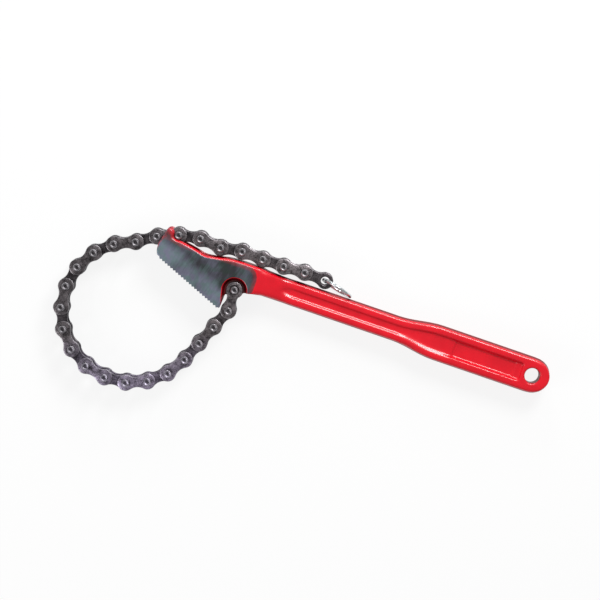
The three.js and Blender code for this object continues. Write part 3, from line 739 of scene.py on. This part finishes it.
def slab(name, outline, thickness):
    """A flat outline pushed through a thickness, half to each side of the level plane."""
    form = bmesh.new()
    low = [form.verts.new((x, y, -thickness / 2)) for x, y in outline]
    raised = bmesh.ops.extrude_face_region(form, geom=[form.faces.new(low)])["geom"]
    lifted = [item for item in raised if isinstance(item, bmesh.types.BMVert)]
    bmesh.ops.translate(form, verts=lifted, vec=(0, 0, thickness))
    bmesh.ops.recalc_face_normals(form, faces=form.faces)
    return object_from(name, form)


def punched(name, near_hole=0.0, far_hole=0.0):
    """One side plate, centred on its own thickness, with a hole of a given radius at each end."""
    plate = slab(name, plate_outline(), PLATE_THICKNESS)
    drills = []
    for x, radius in ((0, near_hole), (PITCH, far_hole)):
        if radius == 0:
            continue
        drill = turned("drill", [(0, -PITCH), (radius, -PITCH), (radius, PITCH), (0, PITCH)])
        drill.data.transform(Matrix.Translation((x, 0, 0)))
        cut = plate.modifiers.new("hole", "BOOLEAN")
        cut.object = drill
        cut.solver = "EXACT"
        drills.append(drill)
    edge = plate.modifiers.new("tumbled_edge", "BEVEL")
    edge.width = PLATE_EDGE
    edge.segments = PLATE_EDGE_STEPS
    edge.limit_method = "ANGLE"
    edge.angle_limit = PLATE_EDGE_ANGLE
    baked(plate)
    for drill in drills:
        bpy.data.objects.remove(drill)
    return plate


# %% The blanks
# The riveted end of a pin, as shares of the head's radius and of its height over the plate
RIVET_RADIUS_SHARES = (1.0, 1.0, 0.97, 0.90, 0.79, 0.64, 0.52, 0.30, 0)
RIVET_HEIGHT_SHARES = (0, 0.74, 0.86, 0.95, 1.0, 0.985, 0.93, 0.90, 0.895)
plate_top = chain_half - PLATE_THICKNESS / 2
rivet_rise = PIN_HALF_LENGTH - plate_top
rivet = [
    (PIN_HEAD_RADIUS * radius, plate_top + rivet_rise * height)
    for radius, height in zip(RIVET_RADIUS_SHARES, RIVET_HEIGHT_SHARES)
]
lower_rivet = [(radius, -height) for radius, height in reversed(rivet)]
pin_shank = [(PIN_RADIUS, -plate_top), (PIN_RADIUS, plate_top)]
bushing_half = inner_face + PLATE_THICKNESS
roller_half = (INNER_WIDTH - ROLLER_END_PLAY) / 2

blank_pin = turned("blank_pin", lower_rivet + pin_shank + rivet)
blank_bushing = turned(
    "blank_bushing",
    [(BUSHING_RADIUS, -bushing_half), (BUSHING_RADIUS, bushing_half),
     (BUSHING_BORE, bushing_half), (BUSHING_BORE, -bushing_half)],
    hollow=True,
)
blank_roller = turned(
    "blank_roller",
    [(ROLLER_RADIUS - ROLLER_EDGE, -roller_half), (ROLLER_RADIUS, ROLLER_EDGE - roller_half),
     (ROLLER_RADIUS, roller_half - ROLLER_EDGE), (ROLLER_RADIUS - ROLLER_EDGE, roller_half),
     (ROLLER_BORE, roller_half), (ROLLER_BORE, -roller_half)],
    hollow=True,
)
blank_outer_plate = punched("blank_outer_plate")
blank_inner_plate = punched("blank_inner_plate", near_hole=BUSHING_BORE, far_hole=BUSHING_BORE)
blank_anchor_plate = punched("blank_anchor_plate", near_hole=ANCHOR_EYE_RADIUS)
blank_tail_plate = punched("blank_tail_plate", near_hole=BUSHING_BORE, far_hole=EYE_RADIUS)
blank_nothing = new_object("blank_nothing", bpy.data.meshes.new("blank_nothing"))
blanks = [
    blank_pin, blank_bushing, blank_roller, blank_nothing,
    blank_outer_plate, blank_inner_plate, blank_anchor_plate, blank_tail_plate,
]
print("blanks", len(blanks), "plate faces", len(blank_inner_plate.data.polygons))

# %% [markdown]
# ## Laying the chain with Geometry Nodes
#
# Every link is the same job: a plate above and a plate below the middle plane, and a pin or a
# bushing at each end, turned to the link's heading and set down at its pin. A loop in Python could
# copy and join the parts. One node tree does it here, because its inputs name the sizes and show
# what a link is made of. Each result becomes a plain mesh of its own, as each link moves by itself.

# %% Helpers for node trees


def new_tree(name, inputs):
    """A Geometry Nodes tree with named inputs, its input node and its output node."""
    tree = bpy.data.node_groups.new(name, "GeometryNodeTree")
    for label, kind in inputs:
        tree.interface.new_socket(label, in_out="INPUT", socket_type=f"NodeSocket{kind}")
    tree.interface.new_socket("Geometry", in_out="OUTPUT", socket_type="NodeSocketGeometry")
    return tree, add(tree, "NodeGroupInput"), add(tree, "NodeGroupOutput")


def shape_of(tree, socket):
    """The geometry of an object that comes in through a socket."""
    info = add(tree, "GeometryNodeObjectInfo", transform_space="ORIGINAL")
    join(tree, socket, info.inputs["Object"])
    return info.outputs["Geometry"]


def finished(tree, geometry, material):
    """Instances made real and given their material, as the export needs them."""
    real = add(tree, "GeometryNodeRealizeInstances")
    painted = add(tree, "GeometryNodeSetMaterial")
    join(tree, geometry, real.inputs["Geometry"])
    join(tree, real.outputs["Geometry"], painted.inputs["Geometry"])
    join(tree, material, painted.inputs["Material"])
    return painted.outputs["Geometry"]


def vector_from(tree, **parts):
    """A vector socket from sockets given for X, Y or Z."""
    node = add(tree, "ShaderNodeCombineXYZ")
    for axis, socket in parts.items():
        join(tree, socket, node.inputs[axis])
    return node.outputs["Vector"]


def grown(name, tree, **values):
    """A plain mesh made by a tree from the values of its named inputs."""
    piece = new_object(name, bpy.data.meshes.new(name))
    modifier = piece.modifiers.new(tree.name, "NODES")
    modifier.node_group = tree
    for item in tree.interface.items_tree:
        if item.in_out == "INPUT":
            modifier[item.identifier] = values[item.name.replace(" ", "_")]
    return baked(piece)


# %% The link tree


def link_tree():
    """Two plates, and a part at each end, laid at a place and turned to a heading."""
    inputs = [
        ("Plate", "Object"), ("Near", "Object"), ("Far", "Object"), ("Pitch", "Float"),
        ("Plate Height", "Float"), ("Place", "Vector"), ("Heading", "Float"),
        ("Plate Finish", "Material"), ("Pin Finish", "Material"),
    ]
    tree, given, result = new_tree("chain_link", inputs)
    source = given.outputs
    pair = add(tree, "GeometryNodeMeshLine", mode="END_POINTS")
    pair.inputs["Count"].default_value = 2
    lower = times(tree, source["Plate Height"], -1.0)
    join(tree, vector_from(tree, Z=lower), pair.inputs["Start Location"])
    join(tree, vector_from(tree, Z=source["Plate Height"]), pair.inputs["Offset"])
    plates = add(tree, "GeometryNodeInstanceOnPoints")
    join(tree, pair.outputs["Mesh"], plates.inputs["Points"])
    join(tree, shape_of(tree, source["Plate"]), plates.inputs["Instance"])
    far = add(tree, "GeometryNodeTransform")
    join(tree, shape_of(tree, source["Far"]), far.inputs["Geometry"])
    join(tree, vector_from(tree, X=source["Pitch"]), far.inputs["Translation"])
    ends = add(tree, "GeometryNodeJoinGeometry")
    join(tree, shape_of(tree, source["Near"]), ends.inputs["Geometry"])
    join(tree, far.outputs["Geometry"], ends.inputs["Geometry"])
    whole = add(tree, "GeometryNodeJoinGeometry")
    for part, finish in ((plates.outputs["Instances"], "Plate"), (ends.outputs["Geometry"], "Pin")):
        join(tree, finished(tree, part, source[f"{finish} Finish"]), whole.inputs["Geometry"])
    laid = add(tree, "GeometryNodeTransform")
    join(tree, whole.outputs["Geometry"], laid.inputs["Geometry"])
    join(tree, source["Place"], laid.inputs["Translation"])
    join(tree, vector_from(tree, Z=source["Heading"]), laid.inputs["Rotation"])
    join(tree, laid.outputs["Geometry"], result.inputs["Geometry"])
    return tree


# %% Lay the links
CRISP_ANGLE = radians(38)


def auto_smooth(piece):
    """Smooth shading that keeps edges sharper than the crisp angle as they are."""
    piece.data.shade_smooth()
    form = bmesh.new()
    form.from_mesh(piece.data)
    for edge in form.edges:
        if len(edge.link_faces) == 2 and edge.calc_face_angle() > CRISP_ANGLE:
            edge.smooth = False
    form.to_mesh(piece.data)
    form.free()


chain_link = link_tree()
for number in range(1, link_count + 1):
    start, end = pins[number - 1], pins[number]
    is_outer = number % 2 == 1
    plate, near, far = blank_inner_plate, blank_bushing, blank_bushing
    if is_outer:
        plate, near, far = blank_outer_plate, blank_pin, blank_pin
    if number == 1:
        plate, near = blank_anchor_plate, blank_nothing
    if number == link_count:
        plate, far = blank_tail_plate, blank_nothing
    face = outer_face if is_outer else inner_face
    kind = "outer" if is_outer else "inner"
    link = grown(
        f"{kind}_chain_link_{number:02d}", chain_link, Plate=plate, Near=near, Far=far, Pitch=PITCH,
        Plate_Height=face + PLATE_THICKNESS / 2, Place=start,
        Heading=atan2(end.y - start.y, end.x - start.x),
        Plate_Finish=plate_steel if is_outer else shaded_inner_plate_steel, Pin_Finish=pin_steel,
    )
    auto_smooth(link)
    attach(link, f"link_{number:02d}")
    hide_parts(f"{kind}_link_{number:02d}")
print("links", link_count, "faces in the last one", len(link.data.polygons))

# %% Rollers and the anchor pin


def set_down(name, blank, place, finish):
    """A copy of a turned blank, moved to its place on the chain and given its finish."""
    piece = new_object(name, blank.data.copy())
    piece.data.transform(Matrix.Translation(place))
    piece.data.materials.append(finish)
    auto_smooth(piece)
    return piece


for number in range(2, link_count + 1):
    sleeve = set_down(
        f"roller_sleeve_{number:02d}", blank_roller, pins[number - 1], roller_steel)
    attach(sleeve, f"roller_{number:02d}")
    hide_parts(f"roller_{number:02d}")

anchor_rivet = set_down("anchor_rivet", blank_pin, anchor, pin_steel)
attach(anchor_rivet, "handle")
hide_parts("anchor_pin")
print("rollers", link_count - 1, "faces in a pin", len(anchor_rivet.data.polygons))

# %% [markdown]
# ## The forging
#
# A drop forging has no sharp edge anywhere but where it was machined. The frame's handle has the
# right form with hard corners. A Bevel would tear where so many edges meet, so a copy of it is
# turned into an even skin of small faces, as a sculptor does with a voxel remesh, and that skin is
# relaxed until its edges are as soft as hot steel leaves them. The teeth would melt in that, so
# they are cut off first and put back after.

# %% A copy of the handle, with its teeth cut off
TOOTH_PITCH = 2.5
TOOTH_DEPTH = 1.1
MERGE_DISTANCE = MM / 1000

jaw_length = (Vector(JAW_TIP) - Vector(JAW_END)).length
root = Vector(JAW_END) + jaw_inward * TOOTH_DEPTH

form = bmesh.new()
form.from_mesh(nodes["handle"].data)
bmesh.ops.remove_doubles(form, verts=form.verts, dist=MERGE_DISTANCE)
cut = bmesh.ops.bisect_plane(
    form, geom=[*form.verts, *form.edges, *form.faces], plane_co=beside_anchor(*root),
    plane_no=(jaw_inward.x, jaw_inward.y, 0), clear_inner=True,
)
rim = [item for item in cut["geom_cut"] if isinstance(item, bmesh.types.BMEdge)]
bmesh.ops.triangle_fill(form, use_beauty=True, edges=rim)
bmesh.ops.recalc_face_normals(form, faces=form.faces)
forging = object_from("forged_handle", form)
print("jaw length in mm", round(jaw_length, 1), "faces", len(forging.data.polygons))

# %% An even skin with soft edges
SKIN_SIZE = 0.55 * MM
RELAX_STEP = 0.5
RELAX_ROUNDS = 7


def relax(piece, name, rounds, group=""):
    """Draw each point of the skin towards its neighbours, as far as a vertex group lets it."""
    modifier = piece.modifiers.new(name, "SMOOTH")
    modifier.factor = RELAX_STEP
    modifier.iterations = rounds
    modifier.vertex_group = group
    baked(piece)


skin = forging.modifiers.new("even_skin", "REMESH")
skin.mode = "VOXEL"
skin.voxel_size = SKIN_SIZE
relax(forging, "soft_edges", RELAX_ROUNDS)
print("skin faces", len(forging.data.polygons))

# %% [markdown]
# ## Softer stretches of the forging
#
# Two places are softer than the rest. In the neck, the head's thickness runs out into the shaft.
# The channel's lower wall was cut back with a round stone, and most of all where the grip begins.
# A vertex group holds how much of the relaxing each point takes, so the stretches fade out
# without a step.

# %% The neck and the channel's lower wall
NECK_START = 11.0
NECK_END = 42.0
NECK_FADE = 6.0
NECK_ROUNDS = 60
GRIP_MARK = 200.0
WALL_START = 34.0
WALL_END = 164.0
WALL_INNER_REACH = 0.5
WALL_OUTER_REACH = 7.0
FLARE_START = 122.0
FLARE_FADE = 8.0
FLARE_SPREAD = 3.5
SHAFT_WALL_SHARE = 0.2
WALL_ROUNDS = 110


def softened(piece, name, rounds, share_at):
    """Relax the skin, at each point by the share that belongs to its place."""
    group = piece.vertex_groups.new(name=name)
    for vertex in piece.data.vertices:
        share = share_at(vertex.co)
        if share > 0:
            group.add([vertex.index], min(1.0, share), "REPLACE")
    relax(piece, name, rounds, group.name)


def neck_share(place):
    reach = (place.x - anchor.x) / MM
    return min(reach - NECK_START, NECK_END - reach) / NECK_FADE


softened(forging, "soft_neck", NECK_ROUNDS, neck_share)
grip_start = anchor.x + GRIP_MARK * MM
grip_sides = [vertex.co.y for vertex in forging.data.vertices if vertex.co.x > grip_start]
shaft_middle = (min(grip_sides) + max(grip_sides)) / 2


def wall_share(place):
    reach = (place.x - anchor.x) / MM
    aside = (shaft_middle - place.y) / MM
    flare = min(1.0, max(0.0, (reach - FLARE_START) / FLARE_FADE))
    ends = min(reach - WALL_START, WALL_END - reach) / FLARE_FADE
    across = min(aside - WALL_INNER_REACH, WALL_OUTER_REACH + FLARE_SPREAD * flare - aside)
    return min(ends, across, 1.0) * (SHAFT_WALL_SHARE + (1 - SHAFT_WALL_SHARE) * flare)


softened(forging, "soft_channel_wall", WALL_ROUNDS, wall_share)
forging.data.shade_smooth()
forging.data.materials.clear()
forging.data.materials.append(forging_finish)
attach(forging, "handle")
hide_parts("handle")
print("forging triangles", sum(len(face.vertices) - 2 for face in forging.data.polygons))

# %% [markdown]
# ## The jaw's teeth
#
# The teeth are milled across the jaw: one short ridge, repeated along a line. That is the plainest
# use of Geometry Nodes there is. A line of points carries the ridge, and the ridges stand as deep
# in the head as they must to look cut from it.

# %% One tooth
TOOTH_ROOT_DEPTH = 2.0
TOOTH_SINK = 0.06 * MM

tooth_step = jaw_length / round(jaw_length / TOOTH_PITCH)
half_step = jaw_along * tooth_step / 2
tooth_outline = [
    Vector((0, 0)),
    half_step + jaw_inward * TOOTH_DEPTH,
    half_step + jaw_inward * TOOTH_ROOT_DEPTH,
    -half_step + jaw_inward * TOOTH_ROOT_DEPTH,
    -half_step + jaw_inward * TOOTH_DEPTH,
]
blank_tooth = slab(
    "blank_tooth", [point * MM for point in tooth_outline], 2 * (head_half - TOOTH_SINK))
blanks.append(blank_tooth)
print("tooth step in mm", round(tooth_step, 3))

# %% The row of teeth


def tooth_tree():
    """A blank set down on each point of a straight row."""
    inputs = [
        ("Tooth", "Object"), ("Count", "Int"), ("Start", "Vector"), ("Step", "Vector"),
        ("Finish", "Material"),
    ]
    tree, given, result = new_tree("milled_teeth", inputs)
    source = given.outputs
    row = add(tree, "GeometryNodeMeshLine")
    join(tree, source["Count"], row.inputs["Count"])
    join(tree, source["Start"], row.inputs["Start Location"])
    join(tree, source["Step"], row.inputs["Offset"])
    teeth = add(tree, "GeometryNodeInstanceOnPoints")
    join(tree, row.outputs["Mesh"], teeth.inputs["Points"])
    join(tree, shape_of(tree, source["Tooth"]), teeth.inputs["Instance"])
    milled = finished(tree, teeth.outputs["Instances"], source["Finish"])
    join(tree, milled, result.inputs["Geometry"])
    return tree


tooth_count = round(jaw_length / tooth_step) - 1
first_tooth = Vector(JAW_END) + jaw_along * tooth_step
teeth = grown(
    "jaw_teeth", tooth_tree(), Tooth=blank_tooth, Count=tooth_count,
    Start=beside_anchor(*first_tooth), Step=Vector((*(jaw_along * tooth_step * MM), 0)),
    Finish=bare_steel,
)
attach(teeth, "handle")
print("teeth", tooth_count)

# %% [markdown]
# ## The wire ring
#
# The ring is wire bent round a mandrel and butt welded, which leaves a slight thickening at the
# seam. A torus has no room for that, so the wire is swept ring by ring and swells at the weld. The
# ring's middle is read from the frame, and its lean is the frame's own, so that it hangs in the
# same hole.

# %% The ring's size and lean
WIRE_RADIUS = 1.25 * MM
RING_LEAN = radians(8)
RING_TURN_STEPS = 120
WIRE_SIDES = 20
WELD_SWELL_SHARE = 0.12
WELD_LENGTH = 1.6 * MM
WELD_TURN = radians(70)

corners = [vertex.co for vertex in nodes["wire_ring"].data.vertices]
ring_middle = sum(corners, Vector()) / len(corners)
ring_radius = max((corner - ring_middle).length for corner in corners) - WIRE_RADIUS
ring_way = ring_middle - pins[-1]
ring_dip = atan2(ring_way.y, ring_way.x)
ring_turn = Matrix.Rotation(ring_dip, 4, "Z") @ Matrix.Rotation(pi / 2 - RING_LEAN, 4, "X")
print("ring mean radius in mm", round(ring_radius / MM, 2))

# %% Bend and weld the wire
form = bmesh.new()
loops = []
for step in range(RING_TURN_STEPS):
    turn = 2 * pi * step / RING_TURN_STEPS
    from_weld = abs(turn - WELD_TURN) * ring_radius
    swell = 1 + WELD_SWELL_SHARE * max(0.0, 1 - from_weld / WELD_LENGTH)
    loop = []
    for side in range(WIRE_SIDES):
        round_wire = 2 * pi * side / WIRE_SIDES
        reach = ring_radius + WIRE_RADIUS * swell * cos(round_wire)
        height = WIRE_RADIUS * swell * sin(round_wire)
        loop.append(form.verts.new((reach * cos(turn), reach * sin(turn), height)))
    loops.append(loop)
for loop, after in zip(loops, loops[1:] + loops[:1]):
    for side in range(WIRE_SIDES):
        beyond = (side + 1) % WIRE_SIDES
        form.faces.new((loop[side], after[side], after[beyond], loop[beyond]))
bmesh.ops.recalc_face_normals(form, faces=form.faces)
ring = object_from("welded_ring", form)
ring.data.transform(Matrix.Translation(ring_middle) @ ring_turn)
ring.data.shade_smooth()
ring.data.materials.append(zinc)
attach(ring, "ring")
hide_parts("wire_ring")
print("ring faces", len(ring.data.polygons))

# %% [markdown]
# ## Clear the bench
#
# The blanks have done their work. They are taken away, so that only real pieces are left.

# %% Remove the blanks
print("blanks to remove", len(blanks))
for blank in blanks:
    bpy.data.objects.remove(blank)

# %% [markdown]
# ## Table and light
#
# The tool lies on a white table under three soft lamps, as in a catalogue. One gives the main
# light, one fills the shadows from the left, and one skims the far side to light the upper edges.
# More light would whiten the table too, but it would bleach the tool. So the table shows as plain
# white to the camera and in reflections, and it still takes a faint shadow.

# %% Table
TABLE_SIZE = 6.0
TABLE_WHITE = 0.9
TABLE_SHADOW_SHARE = 0.14

form = bmesh.new()
bmesh.ops.create_grid(form, x_segments=1, y_segments=1, size=TABLE_SIZE / 2)
table = object_from("white_table", form)
table_finish, tree = new_material("white_table_top")
matte = add(tree, "ShaderNodeBsdfDiffuse")
matte.inputs["Color"].default_value = (TABLE_WHITE, TABLE_WHITE, TABLE_WHITE, 1)
bright = add(tree, "ShaderNodeEmission")
bright.inputs["Strength"].default_value = 1.0
path = add(tree, "ShaderNodeLightPath").outputs
seen = maths(tree, "MAXIMUM", path["Is Camera Ray"], path["Is Glossy Ray"])
seen = maths(tree, "MAXIMUM", seen, path["Is Transmission Ray"])
blend = add(tree, "ShaderNodeMixShader")
join(tree, times(tree, seen, 1 - TABLE_SHADOW_SHARE), blend.inputs["Fac"])
join(tree, matte.outputs["BSDF"], blend.inputs[1])
join(tree, bright.outputs["Emission"], blend.inputs[2])
output(tree, blend.outputs["Shader"])
table.data.materials.append(table_finish)
print("table in m", TABLE_SIZE)

# %% Lamps and sky
SKY_STRENGTH = 0.32


def soft_lamp(name, right, up, height, size, watts):
    """A square area lamp, placed and aimed from the middle of the photograph."""
    lamp = bpy.data.lights.new(name, "AREA")
    lamp.shape = "SQUARE"
    lamp.size = size
    lamp.energy = watts
    holder = bpy.data.objects.new(name, lamp)
    bpy.context.scene.collection.objects.link(holder)
    place = photo_up * up + photo_right * right + Vector((0, 0, height))
    holder.location = beside_anchor(*PHOTO_MIDDLE) + place
    holder.rotation_euler = (-place).to_track_quat("-Z", "Y").to_euler()


soft_lamp("key_softbox", right=0.45, up=0.75, height=0.85, size=0.4, watts=11.4)
soft_lamp("fill_softbox", right=-0.9, up=-0.4, height=0.7, size=0.5, watts=4)
soft_lamp("edge_softbox", right=0, up=1.1, height=0.42, size=0.3, watts=4.5)
world = bpy.data.worlds.new("pale_studio")
bpy.context.scene.world = world
world.use_nodes = True
sky = world.node_tree.nodes["Background"]
sky.inputs["Color"].default_value = (1, 1, 1, 1)
sky.inputs["Strength"].default_value = SKY_STRENGTH
bpy.context.scene.view_settings.view_transform = "Standard"
print("lamps", len(bpy.data.lights))
